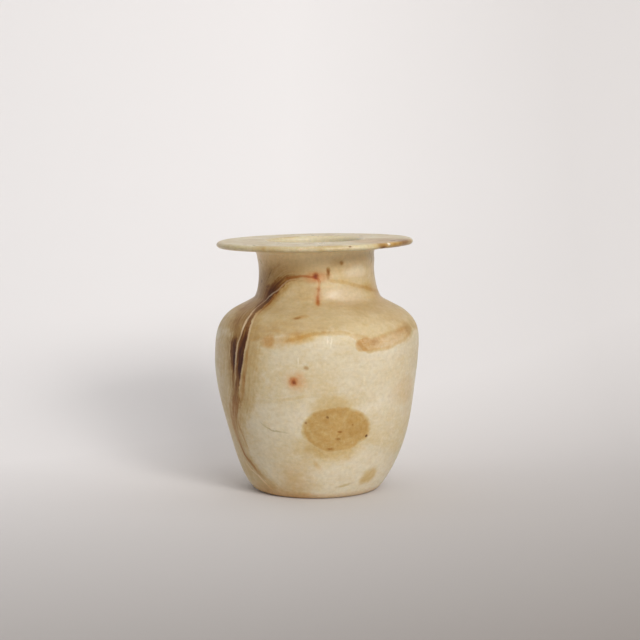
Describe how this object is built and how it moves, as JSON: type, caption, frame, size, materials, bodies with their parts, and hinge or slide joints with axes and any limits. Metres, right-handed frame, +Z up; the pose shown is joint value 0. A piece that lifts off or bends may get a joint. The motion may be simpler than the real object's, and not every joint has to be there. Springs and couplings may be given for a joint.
{
  "type": "alabaster vase",
  "caption": "Hollow carved alabaster jar with a high rounded shoulder, short neck and a broad thin disc rim, standing on a small flat foot.",
  "frame": {"origin": "on the surface that the vase stands on, under the middle of its box", "axes": "+Z up along the vase's axis, -Y towards the viewer of the picture, +X to the right"},
  "size_m": [0.106, 0.1056, 0.1306],
  "materials": {
    "alabaster": "ground smooth and softly polished, translucent, cream with brown veins and honey patches"
  },
  "bodies": {
    "root": {"vase": "alabaster"}
  },
  "joints": []
}
